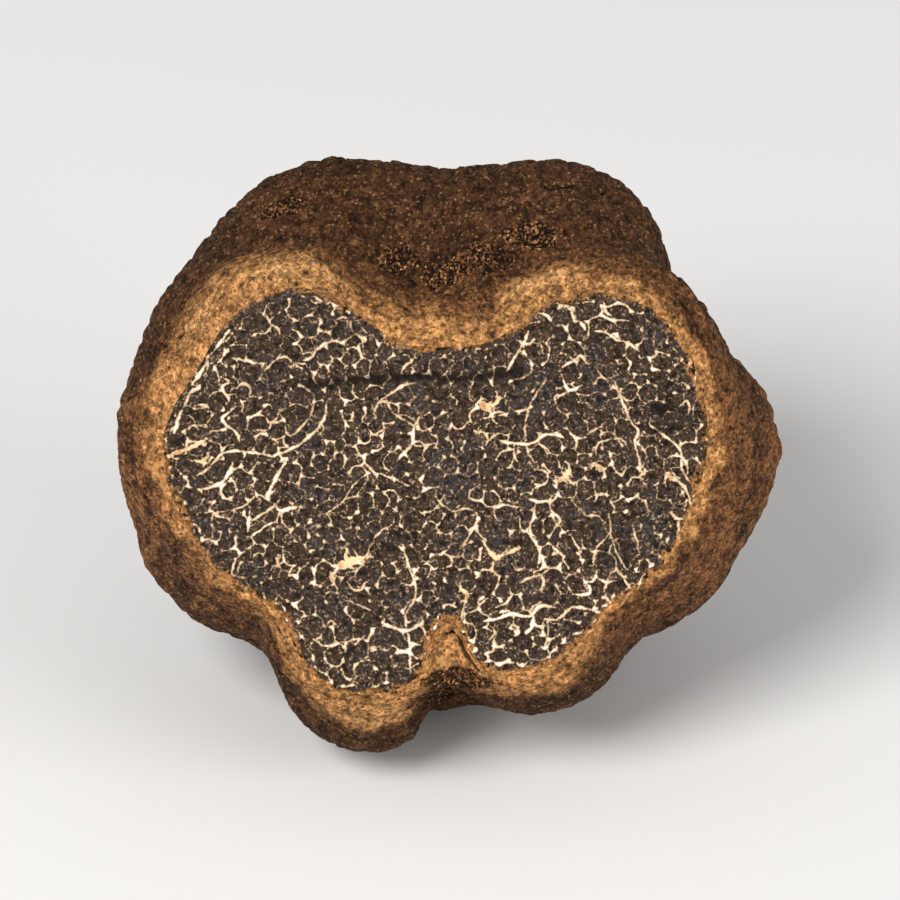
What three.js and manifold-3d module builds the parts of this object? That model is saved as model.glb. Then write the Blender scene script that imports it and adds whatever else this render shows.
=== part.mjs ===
// A black truffle with a slice taken off its front: one solid, lobed body. Its skin is raised all
// over in low, angular warts, the knife has left one flat face in front, and it lies on a small
// flat spot that it grew with. Millimetres, +Z up, origin at the middle of the flat spot.
//
// The body is worked out in its own frame and then tipped back as it lies: x runs to the right,
// y from the cut face into the body, and z up along the cut face, from a point near its middle.

import * as THREE from "three";
import { ConvexHull } from "three/addons/math/ConvexHull.js";
import { mergeVertices } from "three/addons/utils/BufferGeometryUtils.js";
import Module from "manifold-3d";

// ---- Driving dimensions ----

const LEAN_BACK_DEG = 24; // how far the cut face leans back from upright
const REST_HEIGHT = 31.2; // the cut face's own origin stands this high over the surface
const REST_DEPTH = 17.4; // and this far in front of the middle of the flat spot

// The lobes that grew together, each an ellipsoid: its middle and its three half-sizes.
const LOBES = {
  core: { at: [0, 18, 2], half: [22, 21, 21] },
  left: { at: [-13.2, 7.8, 3.4], half: [15.4, 11.4, 12.4] },
  right: { at: [12.7, 7.8, 4], half: [15.2, 11.4, 12.2] },
  bellyLeft: { at: [-10.8, 7.2, -3.2], half: [13.6, 11, 9.6] },
  bellyRight: { at: [11.3, 7.2, -3.4], half: [12.9, 11, 9.3] },
  browLeft: { at: [-12.2, 7.4, 10.2], half: [10.5, 11.2, 10.6] },
  browRight: { at: [14.3, 7.4, 9.4], half: [11.2, 11.2, 11] },
  toeLeft: { at: [-6.6, 8, -11], half: [8.6, 10.6, 10.1] },
  toeLeftInner: { at: [-4.3, 8, -11.8], half: [6, 10.2, 8.2] },
  toeLeftOuter: { at: [-8.8, 8, -11.6], half: [5.2, 10, 8] },
  toeRight: { at: [8.2, 8, -9.8], half: [8.6, 10.6, 9.4] },
  toeRightInner: { at: [5.3, 8, -8.9], half: [5.9, 10.4, 9.6] },
  heelLeft: { at: [-6.4, 12.2, -15.7], half: [8.2, 9.4, 10.4] },
  heelRight: { at: [8.6, 12.6, -13.4], half: [8.8, 9.4, 9.2] },
  shoulderLeft: { at: [-14, 15.5, 8.5], half: [12.8, 13, 12.4] },
  flankLeft: { at: [-15, 15, 0.5], half: [13.4, 13.5, 12] },
  flankRight: { at: [17, 15, 1], half: [14, 13.5, 11.2] },
  cheekLeft: { at: [-14.2, 17.5, -5.8], half: [13, 13.5, 11] },
  cheekRight: { at: [15, 17, -5.8], half: [12.6, 13, 10.6] },
  crownLeft: { at: [-8.5, 20, 15.5], half: [12.8, 13, 11.4] },
  crownRight: { at: [9.5, 20, 15.5], half: [11.8, 13, 11.4] },
  nape: { at: [0.5, 22, 14], half: [10, 12, 11.2] },
  backLeft: { at: [-9.5, 28.5, 3], half: [13.5, 12.5, 13.5] },
  backRight: { at: [11, 26.5, -3.5], half: [12, 12.5, 12] },
  seat: { at: [0, 22.6, -11.4], half: [15.5, 14, 12.4] },
  bridge: { at: [0.9, 6.6, -15.6], half: [3.6, 4.6, 3.7] },
};
const LOBE_BLEND = 1.2; // how softly one lobe runs into the next

// The hollows it grew with, each an ellipsoid scooped out of the lobes: the saddle between the
// two brows, the cleft between the toes, its notch in the cut face and a dimple at the back.
const HOLLOWS = {
  saddle: { at: [-1.8, 1.5, 24.4], half: [7.6, 8.5, 8.6], blend: 1.4 },
  cleft: { at: [0.9, 6.5, -24.8], half: [2.4, 9.5, 5.6], blend: 0.9 },
  notch: { at: [0.9, -1.5, -16.6], half: [2, 3.5, 5.2], blend: 0.5 },
  dimple: { at: [2.5, 42.5, 7], half: [6.5, 6, 7.5], blend: 1.6 },
};

const BODY_MIDDLE = [0, 17, 0]; // every part of the skin is in sight of this point
const LEAST_RADIUS = 6;
const MOST_RADIUS = 46;

const WART_COUNT = 640;
const WART_JITTER = 0.42; // how far a wart strays from an even spacing, as a share of it
const WART_HEIGHT = 0.55; // the crest over the body's own surface
const WART_VALLEY = 0.5; // the valleys between warts, below it
const WART_PEAK = 1.2; // the middle of a wart, as a share of its crest's height
const WART_CREST_AT = 0.66; // the crest's edge, as a share of the way from middle to valley
const LOW_WARTS_AT = 2; // the warts are low this near the cut face
const FULL_WARTS_AT = 24; // and at their full height from this depth on
const LOW_WART_SHARE = 0.5;
const SEED = 20;

const SKIN_COLOUR = 0x4a3122;
const CUTTER_SIZE = 120; // side of the blocks that cut the flats

// ---- Small helpers ----

function randomFrom(seed) {
  let state = seed >>> 0;
  return () => {
    state = (state + 0x6d2b79f5) >>> 0;
    let t = state;
    t = Math.imul(t ^ (t >>> 15), t | 1);
    t ^= t + Math.imul(t ^ (t >>> 7), t | 61);
    return ((t ^ (t >>> 14)) >>> 0) / 2 ** 32;
  };
}

const smoothstep = THREE.MathUtils.smoothstep;

// About how far a point is outside an ellipsoid, negative inside it.
function ellipsoidDistance([x, y, z], { at, half }) {
  const u = (x - at[0]) / half[0];
  const v = (y - at[1]) / half[1];
  const w = (z - at[2]) / half[2];
  const k0 = Math.hypot(u, v, w);
  const k1 = Math.hypot(u / half[0], v / half[1], w / half[2]);
  return (k0 * (k0 - 1)) / Math.max(k1, 1e-9);
}

// The lobes run together, and the hollows are scooped out of them.
function bodyDistance(point) {
  let sum = 0;
  for (const lobe of Object.values(LOBES))
    sum += Math.exp(-ellipsoidDistance(point, lobe) / LOBE_BLEND);
  let distance = -LOBE_BLEND * Math.log(sum);
  for (const hollow of Object.values(HOLLOWS)) {
    const scoop = -ellipsoidDistance(point, hollow);
    const both = Math.exp(distance / hollow.blend) + Math.exp(scoop / hollow.blend);
    distance = hollow.blend * Math.log(both);
  }
  return distance;
}

function pointAt(direction, radius) {
  return [
    BODY_MIDDLE[0] + direction.x * radius,
    BODY_MIDDLE[1] + direction.y * radius,
    BODY_MIDDLE[2] + direction.z * radius,
  ];
}

// How far the body's surface is from its middle, along a direction.
function surfaceRadius(direction) {
  let inside = LEAST_RADIUS;
  let outside = MOST_RADIUS;
  while (outside - inside > 1e-4) {
    const between = (inside + outside) / 2;
    if (bodyDistance(pointAt(direction, between)) < 0) inside = between;
    else outside = between;
  }
  return inside;
}

// ---- The warts ----

// Directions spread evenly over a ball by the golden angle, each then shifted a little.
function wartDirections() {
  const random = randomFrom(SEED);
  const goldenAngle = Math.PI * (3 - Math.sqrt(5));
  const stray = WART_JITTER * Math.sqrt((4 * Math.PI) / WART_COUNT);
  return Array.from({ length: WART_COUNT }, (_, i) => {
    const height = 1 - (2 * (i + 0.5)) / WART_COUNT;
    const around = Math.sqrt(1 - height * height);
    const direction = new THREE.Vector3(
      around * Math.cos(goldenAngle * i),
      height,
      around * Math.sin(goldenAngle * i),
    );
    const shift = new THREE.Vector3(random() - 0.5, random() - 0.5, random() - 0.5);
    return direction.addScaledVector(shift, stray).normalize();
  });
}

// The corners of each wart: the middles of the triangles that join it to its neighbours, in
// order round it, with an index so that neighbours share them.
function wartOutlines(directions) {
  const hull = new ConvexHull().setFromPoints(directions);
  const corners = [];
  const around = new Map(directions.map((d) => [d, []]));
  for (const face of hull.faces) {
    const points = [face.edge.prev, face.edge, face.edge.next].map((e) => e.head().point);
    const middle = new THREE.Vector3();
    for (const p of points) middle.add(p);
    corners.push(middle.normalize());
    for (const p of points) around.get(p).push(corners.length - 1);
  }
  const outlines = directions.map((direction) => {
    const right = new THREE.Vector3(0, 1, 0).cross(direction).normalize();
    const up = direction.clone().cross(right);
    const turn = (i) => Math.atan2(corners[i].dot(up), corners[i].dot(right));
    return around.get(direction).sort((a, b) => turn(a) - turn(b));
  });
  return { corners, outlines };
}

// The whole truffle before it is cut: for each wart a ring of valley corners, a raised ring
// inside it, and a peak.
function wartyBody() {
  const directions = wartDirections();
  const { corners, outlines } = wartOutlines(directions);
  const positions = [];
  const triangles = [];

  const addPoint = (direction, rise) => {
    const radius = surfaceRadius(direction);
    const depth = BODY_MIDDLE[1] + direction.y * radius;
    const share = smoothstep(depth, LOW_WARTS_AT, FULL_WARTS_AT);
    const strength = THREE.MathUtils.lerp(LOW_WART_SHARE, 1, share);
    positions.push(...pointAt(direction, radius + rise * strength));
    return positions.length / 3 - 1;
  };

  const valley = corners.map((corner) => addPoint(corner, -WART_VALLEY));
  directions.forEach((direction, w) => {
    const peak = addPoint(direction, WART_HEIGHT * WART_PEAK);
    const crest = outlines[w].map((c) =>
      addPoint(direction.clone().lerp(corners[c], WART_CREST_AT).normalize(), WART_HEIGHT),
    );
    outlines[w].forEach((c, i) => {
      const next = (i + 1) % outlines[w].length;
      const foot = valley[c];
      const nextFoot = valley[outlines[w][next]];
      triangles.push(peak, crest[i], crest[next]);
      triangles.push(crest[i], foot, nextFoot);
      triangles.push(crest[i], nextFoot, crest[next]);
    });
  });

  const geometry = new THREE.BufferGeometry();
  geometry.setAttribute("position", new THREE.Float32BufferAttribute(positions, 3));
  geometry.setIndex(triangles);
  return geometry;
}

// ---- Cutting ----

const wasm = await Module();
wasm.setup();

function toSolid(geometry) {
  const bare = new THREE.BufferGeometry();
  bare.setAttribute("position", geometry.getAttribute("position"));
  bare.setIndex(geometry.index);
  const merged = mergeVertices(bare, 1e-4);
  return new wasm.Manifold(
    new wasm.Mesh({
      numProp: 3,
      vertProperties: merged.getAttribute("position").array,
      triVerts: new Uint32Array(merged.index.array),
    }),
  );
}

function toGeometry(solid) {
  const mesh = solid.getMesh();
  const geometry = new THREE.BufferGeometry();
  geometry.setAttribute("position", new THREE.Float32BufferAttribute(mesh.vertProperties, 3));
  geometry.setIndex(new THREE.BufferAttribute(mesh.triVerts, 1));
  geometry.computeVertexNormals();
  return geometry;
}

// Where the body's own frame lies on the surface.
const placement = new THREE.Object3D();
placement.rotation.x = -THREE.MathUtils.degToRad(LEAN_BACK_DEG);
placement.position.set(0, -REST_DEPTH, REST_HEIGHT);
placement.updateMatrix();

// What the knife takes off, in front of the cut face.
function slice() {
  return new THREE.BoxGeometry(CUTTER_SIZE, CUTTER_SIZE, CUTTER_SIZE).translate(
    0,
    -CUTTER_SIZE / 2,
    0,
  );
}

// What lies below the surface, seen from the body's own frame.
function ground() {
  return new THREE.BoxGeometry(CUTTER_SIZE, CUTTER_SIZE, CUTTER_SIZE)
    .translate(0, 0, -CUTTER_SIZE / 2)
    .applyMatrix4(placement.matrix.clone().invert());
}

function cutTruffle() {
  let solid = toSolid(wartyBody());
  for (const cutter of [slice(), ground()]) solid = solid.subtract(toSolid(cutter));
  return toGeometry(solid);
}

// ---- The part ----

const truffle = new THREE.Mesh(
  cutTruffle(),
  new THREE.MeshStandardMaterial({ color: SKIN_COLOUR, roughness: 0.9, metalness: 0 }),
);
truffle.name = "truffle";
truffle.rotation.copy(placement.rotation);
truffle.position.copy(placement.position);

const part = new THREE.Group();
part.name = "black_truffle";
part.add(truffle);

export default part;
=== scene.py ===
"""Dresses a cut black truffle: its warty skin, its marbled cut face, and the floor it lies on."""

import math

import bmesh
import bpy
import numpy as np
from bpy.props import FloatProperty, FloatVectorProperty, IntProperty, PointerProperty
from mathutils import Matrix, Vector, geometry, kdtree, noise


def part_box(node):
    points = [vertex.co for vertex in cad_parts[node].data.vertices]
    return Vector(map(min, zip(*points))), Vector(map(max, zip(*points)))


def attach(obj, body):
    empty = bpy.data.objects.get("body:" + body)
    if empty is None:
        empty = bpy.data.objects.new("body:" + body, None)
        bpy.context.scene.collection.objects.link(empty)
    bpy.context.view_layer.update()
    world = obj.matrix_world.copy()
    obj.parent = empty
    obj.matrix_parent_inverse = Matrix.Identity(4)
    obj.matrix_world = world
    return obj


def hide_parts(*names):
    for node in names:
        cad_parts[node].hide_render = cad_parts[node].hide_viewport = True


bl_info = {
    "name": "Cut Black Truffle",
    "version": (1, 0, 0),
    "blender": (4, 5, 0),
    "location": "3D View > Sidebar > Truffle",
    "description": "Builds the warty skin and the marbled cut face of a black truffle",
    "category": "Add Mesh",
}

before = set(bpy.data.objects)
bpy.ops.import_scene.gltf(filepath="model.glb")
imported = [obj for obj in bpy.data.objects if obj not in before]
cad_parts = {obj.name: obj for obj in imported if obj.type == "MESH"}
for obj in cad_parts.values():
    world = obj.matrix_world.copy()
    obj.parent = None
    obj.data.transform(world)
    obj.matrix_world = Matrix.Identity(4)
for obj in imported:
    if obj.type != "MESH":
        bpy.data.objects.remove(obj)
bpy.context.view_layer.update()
CAD_LOW, CAD_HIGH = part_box("truffle")

MM = 0.001

# ---- The body ----
# It is worked out in its own frame, in millimetres: x runs to the right, y from the cut face
# into the body, and z up along the cut face. It is then tipped back as it lies.

LEAN_BACK = math.radians(24)  # how far the cut face leans back from upright
REST_HEIGHT = 31.2  # the cut face's own origin stands this high over the floor
REST_DEPTH = 17.4  # and this far in front of the middle of the flat spot

# The lobes that grew together, each an ellipsoid: its middle and its three half-sizes.
LOBES = {
    "core": ((0, 18, 2), (22, 21, 21)),
    "left": ((-13.2, 7.8, 3.4), (15.4, 11.4, 12.4)),
    "right": ((12.7, 7.8, 4), (15.2, 11.4, 12.2)),
    "belly_left": ((-10.8, 7.2, -3.2), (13.6, 11, 9.6)),
    "belly_right": ((11.3, 7.2, -3.4), (12.9, 11, 9.3)),
    "brow_left": ((-12.2, 7.4, 10.2), (10.5, 11.2, 10.6)),
    "brow_right": ((14.3, 7.4, 9.4), (11.2, 11.2, 11)),
    "toe_left": ((-6.6, 8, -11), (8.6, 10.6, 10.1)),
    "toe_right": ((8.2, 8, -9.8), (8.6, 10.6, 9.4)),
    "toe_left_inner": ((-4.3, 8, -11.8), (6, 10.2, 8.2)),
    "toe_left_outer": ((-8.8, 8, -11.6), (5.2, 10, 8)),
    "toe_right_inner": ((5.3, 8, -8.9), (5.9, 10.4, 9.6)),
    "heel_left": ((-6.4, 12.2, -15.7), (8.2, 9.4, 10.4)),
    "heel_right": ((8.6, 12.6, -13.4), (8.8, 9.4, 9.2)),
    "shoulder_left": ((-14, 15.5, 8.5), (12.8, 13, 12.4)),
    "flank_left": ((-15, 15, 0.5), (13.4, 13.5, 12)),
    "flank_right": ((17, 15, 1), (14, 13.5, 11.2)),
    "cheek_left": ((-14.2, 17.5, -5.8), (13, 13.5, 11)),
    "cheek_right": ((15, 17, -5.8), (12.6, 13, 10.6)),
    "crown_left": ((-8.5, 20, 15.5), (12.8, 13, 11.4)),
    "crown_right": ((9.5, 20, 15.5), (11.8, 13, 11.4)),
    "nape": ((0.5, 22, 14), (10, 12, 11.2)),
    "back_left": ((-9.5, 28.5, 3), (13.5, 12.5, 13.5)),
    "back_right": ((11, 26.5, -3.5), (12, 12.5, 12)),
    "seat": ((0, 22.6, -11.4), (15.5, 14, 12.4)),
    "bridge": ((0.9, 6.6, -15.6), (3.6, 4.6, 3.7)),
}
LOBE_BLEND = 1.2  # how softly one lobe runs into the next

# The hollows it grew with: each one's middle, half-sizes and softness.
HOLLOWS = {
    "saddle": ((-1.8, 1.5, 24.4), (7.6, 8.5, 8.6), 1.4),
    "cleft": ((0.9, 6.5, -24.8), (2.4, 9.5, 5.6), 0.9),
    "notch": ((0.9, -1.5, -16.6), (2, 3.5, 5.2), 0.5),
    "dimple": ((2.5, 42.5, 7), (6.5, 6, 7.5), 1.6),
}
BODY_MIDDLE = np.array((0.0, 17.0, 0.0))  # every part of the skin is in sight of this point
LEAST_RADIUS, MOST_RADIUS = 6.0, 46.0
HALVINGS = 19  # steps that close in on the surface
SLOPE_STEP = 0.2  # how far apart the body is sampled to find which way its surface faces

PLACE = Matrix.Translation((0, -REST_DEPTH, REST_HEIGHT)) @ Matrix.Rotation(-LEAN_BACK, 4, "X")


def ellipsoid_distance(points, middle, half):
    """About how far points are outside an ellipsoid, negative inside it."""
    scaled = (points - np.array(middle)) / np.array(half)
    length = np.linalg.norm(scaled, axis=1)
    slope = np.linalg.norm(scaled / np.array(half), axis=1)
    return length * (length - 1) / np.maximum(slope, 1e-9)


def body_distance(points):
    """The lobes run together, and the hollows are scooped out of them."""
    total = sum(np.exp(-ellipsoid_distance(points, *lobe) / LOBE_BLEND) for lobe in LOBES.values())
    distance = -LOBE_BLEND * np.log(total)
    for middle, half, blend in HOLLOWS.values():
        scoop = -ellipsoid_distance(points, middle, half)
        distance = blend * np.logaddexp(distance / blend, scoop / blend)
    return distance


def body_surface(directions):
    """The points of the body's surface, seen from its middle along the directions."""
    inside = np.full(len(directions), LEAST_RADIUS)
    outside = np.full(len(directions), MOST_RADIUS)
    for _ in range(HALVINGS):
        between = (inside + outside) / 2
        within = body_distance(BODY_MIDDLE + directions * between[:, None]) < 0
        inside = np.where(within, between, inside)
        outside = np.where(within, outside, between)
    return BODY_MIDDLE + directions * inside[:, None]


def body_facing(points):
    """The directions that the body's surface faces at points on it."""
    slopes = [
        body_distance(points + step) - body_distance(points - step)
        for step in np.eye(3) * SLOPE_STEP
    ]
    facing = np.stack(slopes, axis=1)
    return facing / np.linalg.norm(facing, axis=1)[:, None]


def to_floor(points):
    """Points of the body's own frame where they lie on the floor, in metres."""
    place = np.array(PLACE)
    return (points @ place[:3, :3].T + place[:3, 3]) * MM


def from_floor(points):
    place = np.array(PLACE.inverted())
    return (points / MM) @ place[:3, :3].T + place[:3, 3]


# ---- Fields over points ----

STROKE_STEP = 0.06  # from one dot of a drawn line to the next
NOISE_SEED = 3

noise.seed_set(NOISE_SEED)  # without it the clock would set what noise_vector gives


def smooth_step(values, low, high):
    share = np.clip((values - low) / (high - low), 0, 1)
    return share * share * (3 - 2 * share)


def mix(low, high, share):
    return low + (high - low) * share


def clouds(points, size, octaves=3, offset=0.0):
    """Soft noise, about -1 to 1, whose largest blotches measure about size."""
    scaled = (points + offset) / size
    return np.array([noise.fractal(Vector(p), 1.0, 2.0, octaves) for p in scaled.tolist()])


def swirl(points, size, offset=0.0):
    """A noise vector for each point, each part about -1 to 1."""
    scaled = (points + offset) / size
    return np.array([noise.noise_vector(Vector(p)) for p in scaled.tolist()])


def in_order(points):
    """The points from left to right, so that a random draw from them is always the same."""
    return points[np.lexsort(np.round(points, 3).T[::-1])]


def spread_out(points, spacing, seed):
    """Picks points at random that are all at least spacing apart, until no more fit."""
    points = in_order(points)
    chosen = []
    taken = {}
    blocks = np.floor(points / spacing).astype(int).tolist()
    places = points.tolist()
    nearby = [(i, j, k) for i in (-1, 0, 1) for j in (-1, 0, 1) for k in (-1, 0, 1)]
    for index in np.random.default_rng(seed).permutation(len(points)).tolist():
        x, y, z = places[index]
        a, b, c = blocks[index]
        if not any(
            (x - u) ** 2 + (y - v) ** 2 + (z - w) ** 2 < spacing**2
            for i, j, k in nearby
            for u, v, w in taken.get((a + i, b + j, c + k), ())
        ):
            taken.setdefault((a, b, c), []).append((x, y, z))
            chosen.append(index)
    return points[chosen]


def tree_of(points):
    tree = kdtree.KDTree(len(points))
    for index, point in enumerate(points.tolist()):
        tree.insert(point, index)
    tree.balance()
    return tree


def distance_to(points, tree):
    return np.array([tree.find(p)[2] for p in points.tolist()])


def cells(points, seeds):
    """Which seed each point is nearest to, the next one, and how far the point is from the
    border between those two and from the border with the third."""
    tree = tree_of(seeds)
    found = [tree.find_n(p, 3) for p in points.tolist()]
    index = np.array([[hit[1] for hit in hits] for hits in found])
    away = np.array([[hit[2] for hit in hits] for hits in found])
    own = seeds[index[:, 0]]
    borders = [
        (away[:, n] ** 2 - away[:, 0] ** 2)
        / (2 * np.maximum(np.linalg.norm(seeds[index[:, n]] - own, axis=1), 1e-6))
        for n in (1, 2)
    ]
    return index[:, 0], index[:, 1], borders[0], borders[1]


def smooth_path(corners):
    """A smooth curve through the corners, as dots a step apart."""
    corners = np.array(corners, float)
    first, last = 2 * corners[0] - corners[1], 2 * corners[-1] - corners[-2]
    corners = np.concatenate([[first], corners, [last]])
    pieces = []
    for before, start, end, after in zip(corners, corners[1:], corners[2:], corners[3:]):
        count = max(1, int(np.ceil(np.linalg.norm(end - start) / STROKE_STEP)))
        t = (np.arange(count) / count)[:, None]
        bend = (end - before) * t + (2 * before - 5 * start + 4 * end - after) * t**2
        pieces.append(start + (bend + (3 * start - before - 3 * end + after) * t**3) / 2)
    pieces.append(corners[-2:-1])
    return np.concatenate(pieces)


# ---- Mesh helpers ----


def read_points(mesh):
    flat = np.zeros(len(mesh.vertices) * 3)
    mesh.vertices.foreach_get("co", flat)
    return flat.reshape(-1, 3)


def write_points(mesh, points):
    mesh.vertices.foreach_set("co", np.ascontiguousarray(points).ravel())
    mesh.update()


def write_field(mesh, name, values):
    layer = mesh.attributes.new(name, "FLOAT", "POINT")
    layer.data.foreach_set("value", np.ascontiguousarray(values, dtype=np.float32))


def show(mesh, name, material):
    """Makes the mesh a piece of the truffle, in place of its plain solid."""
    mesh.materials.clear()
    mesh.materials.append(material)
    mesh.shade_smooth()
    piece = bpy.data.objects.new(name, mesh)
    bpy.context.scene.collection.objects.link(piece)
    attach(piece, "root")
    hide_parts("truffle")
    return piece


def ball_of_directions(cells_across):
    """A mesh of unit vectors, evenly spread: a gridded cube blown up into a ball."""
    cube = bmesh.new()
    bmesh.ops.create_cube(cube, size=2)
    bmesh.ops.subdivide_edges(cube, edges=cube.edges[:], cuts=cells_across - 1, use_grid_fill=True)
    mesh = bpy.data.meshes.new("truffle_skin")
    cube.to_mesh(mesh)
    cube.free()
    directions = np.tan(read_points(mesh) * math.pi / 4)
    write_points(mesh, directions / np.linalg.norm(directions, axis=1)[:, None])
    return mesh


# ---- Materials ----


def colour(code):
    """A colour from its usual six-digit code, as the linear values that a shader works in."""
    values = [int(code[i : i + 2], 16) / 255 for i in (0, 2, 4)]
    return tuple(v / 12.92 if v <= 0.04045 else ((v + 0.055) / 1.055) ** 2.4 for v in values)


class Paint:
    """A material and the nodes that are added to it. Sizes are in millimetres."""

    def __init__(self, name):
        self.material = bpy.data.materials.new(name)
        self.material.use_nodes = True
        self.nodes = self.material.node_tree.nodes
        self.links = self.material.node_tree.links
        self.shader = self.nodes["Principled BSDF"]
        coordinates = self.nodes.new("ShaderNodeTexCoord").outputs["Object"]
        self.place = self.add("ShaderNodeVectorMath", {0: coordinates, "Scale": 1 / MM}, operation="SCALE")

    def add(self, kind, inputs, output=0, **settings):
        """Adds a node, sets or links its inputs, and returns one of its outputs."""
        node = self.nodes.new(kind)
        for name, value in settings.items():
            setattr(node, name, value)
        for name, value in inputs.items():
            self.put(node.inputs[name], value)
        return node.outputs[output]

    def put(self, socket, value):
        if isinstance(value, bpy.types.NodeSocket):
            self.links.new(value, socket)
        elif socket.type == "RGBA" and len(value) == 3:
            socket.default_value = (*value, 1)
        else:
            socket.default_value = value

    def field(self, name):
        return self.add("ShaderNodeAttribute", {}, "Fac", attribute_name=name)

    def noise(self, size, detail, roughness, place=None):
        inputs = {"Vector": place or self.place, "Scale": 1 / size, "Detail": detail, "Roughness": roughness}
        return self.add("ShaderNodeTexNoise", inputs, "Fac")

    def drawn_out(self, way, share):
        """The place, with a share taken off how far it lies along a way."""
        along_it = self.add("ShaderNodeVectorMath", {0: self.place, 1: way}, 1, operation="DOT_PRODUCT")
        inputs = {0: way, "Scale": self.times(along_it, -share)}
        back = self.add("ShaderNodeVectorMath", inputs, operation="SCALE")
        return self.add("ShaderNodeVectorMath", {0: self.place, 1: back}, operation="ADD")

    def grains(self, size, place=None):
        """A random value for each grain."""
        inputs = {"Vector": place or self.place, "Scale": 1 / size}
        return self.add("ShaderNodeTexVoronoi", inputs, "Color")

    def band(self, value, low, high, to_low=0.0, to_high=1.0):
        """0 where the value is low, 1 where it is high, and smooth between."""
        inputs = {"Value": value, "From Min": low, "From Max": high, "To Min": to_low, "To Max": to_high}
        return self.add("ShaderNodeMapRange", inputs, interpolation_type="SMOOTHSTEP")

    def sum(self, first, second):
        return self.add("ShaderNodeMath", {0: first, 1: second}, operation="ADD")

    def times(self, first, second):
        return self.add("ShaderNodeMath", {0: first, 1: second}, operation="MULTIPLY")

    def blend(self, below, above, share, how="MIX"):
        inputs = {"Factor": share, 6: below, 7: above}
        return self.add("ShaderNodeMix", inputs, 2, data_type="RGBA", blend_type=how)

    def bump(self, height, depth, over=None):
        inputs = {"Height": height, "Distance": depth * MM}
        if over is not None:
            inputs["Normal"] = over
        return self.add("ShaderNodeBump", inputs)


# ---- The skin ----

# Dark, gritty earth: the middle and the reach of each patch. The last two, under the body between the toes,
# are painted shade rather than earth.
SOIL_AND_SHADE_PATCHES = (
    ((0.4, 7.4, 18.2), (2.8, 1.8, 1.5)),
    ((4.2, 7.6, 19.5), (3.8, 2.4, 2.1)),
    ((8.6, 8.8, 21.6), (3.6, 2.2, 1.7)),
    ((-3.6, 8.9, 19.5), (2.2, 1.6, 1.6)),
    ((-14, 12.6, 23.4), (4.2, 1.7, 1.5)),
    ((1.6, 2.4, -18), (4.2, 3, 1.5)),
    # The next two: painted shade between the toes, drawn as dark soil.
    ((-1.4, 4.6, -19.6), (2.4, 3, 1.7)),
    ((1.0, 11.5, -20.6), (3.4, 7, 2.6)),
)

# Bare, bright skin, with the same two values.
BRIGHT_SPOTS = (
    ((0.5, 1.9, -15.0), (1.6, 2.4, 2.6)),
    ((8.6, 3.0, 18.2), (5.5, 1.5, 2.0)),
    ((-12.5, 2.4, 19.6), (6.5, 2.2, 2.4)),
    ((-5.6, 3.6, -21.0), (5.0, 2.6, 2.4)),
    ((-20.5, 3.6, 14.6), (3.4, 2.6, 3.0)),
)

# Cracks in the skin: each one's half-width and the points it runs through. They are sunk into the skin and
# painted near-black as painted shade.
CRACKS = (
    (0.2, (0.5, 1.6, -13.7), (0.9, 1.4, -13.4), (1.3, 1.2, -13.3), (1.7, 1.2, -13.6), (2.1, 1.0, -14.2)),
    (0.42, (2.1, 1.0, -14.3), (2.4, 0.9, -14.8), (2.8, 0.8, -15.4)),
    (0.24, (2.7, 0.8, -15.3), (3.0, 0.9, -16.0), (3.5, 1.0, -16.6), (4.5, 1.2, -17.0)),
    (0.16, (9.4, 14.3, 25.8), (10.2, 13.4, 25.3), (11.1, 13.7, 25.4), (12.3, 14.4, 25.4)),
    (0.17, (14.7, 14.9, 24.7), (15.5, 15.5, 24.5), (16.4, 15.8, 24.0), (17.2, 16.6, 23.6)),
    (0.15, (-21.6, 3.9, 15.1), (-20.5, 3.4, 16.1), (-19.3, 2.8, 17.0)),
    (0.12, (-20.7, 2.3, 15.0), (-19.5, 1.8, 16.1), (-18.4, 1.5, 16.9)),
    (0.13, (-22.8, 6.9, 15.2), (-21.6, 6.4, 16.4), (-20.7, 6.2, 17.1)),
)

# Where dry earth clings past the cut's edge: the middle and the reach of each spot.
DUSTY_SPOTS = (
    ((-19, 3, 13), 9),
    ((-16, 9, 17), 9),
    ((-7, 3, -19), 9),
    ((9, 3, -17), 5.5),
    ((9, 3, 17), 4.5),
    ((-3, 3, 13), 5),
)
DUST_WIDTH = 1.45  # how far the dust reaches from the cut elsewhere
MORE_DUST = 3.8  # and how much farther in the middle of a spot

WART_SWAY = 0.42  # how far the lines between warts wander
WART_TALLNESS = (0.7, 1.25)  # the least and the most, as a share
WART_SINK = 0.45  # the part of a wart's height that lies below the smooth body
VALLEY_WIDTH = 0.34  # to each side of the line between two warts
LOW_WARTS_END = 12.0  # from the cut to here the warts are low
TALL_WARTS_START = 32.0  # and from here on they have their full height
TALLNESS_SEED = 5
LUMP_HEIGHT = 0.36
GRIT_HEIGHT = 0.11
SOIL_GRIT_HEIGHT = 0.3
SOIL_DENT = 0.2
CRACK_DEPTH = 0.45
RIM_FADE = 1.6  # warts and lumps grow to their full height this far from the cut
ON_PLANE = 1e-4  # corners this near the cut count as on it when the body is cut
RIM_REACH = 1e-3  # and this near it they are the rim
SKIN_LIP = (0.45, 0.985)  # how far behind the cut the skin is closed, and the rim's size there, as a share


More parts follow.
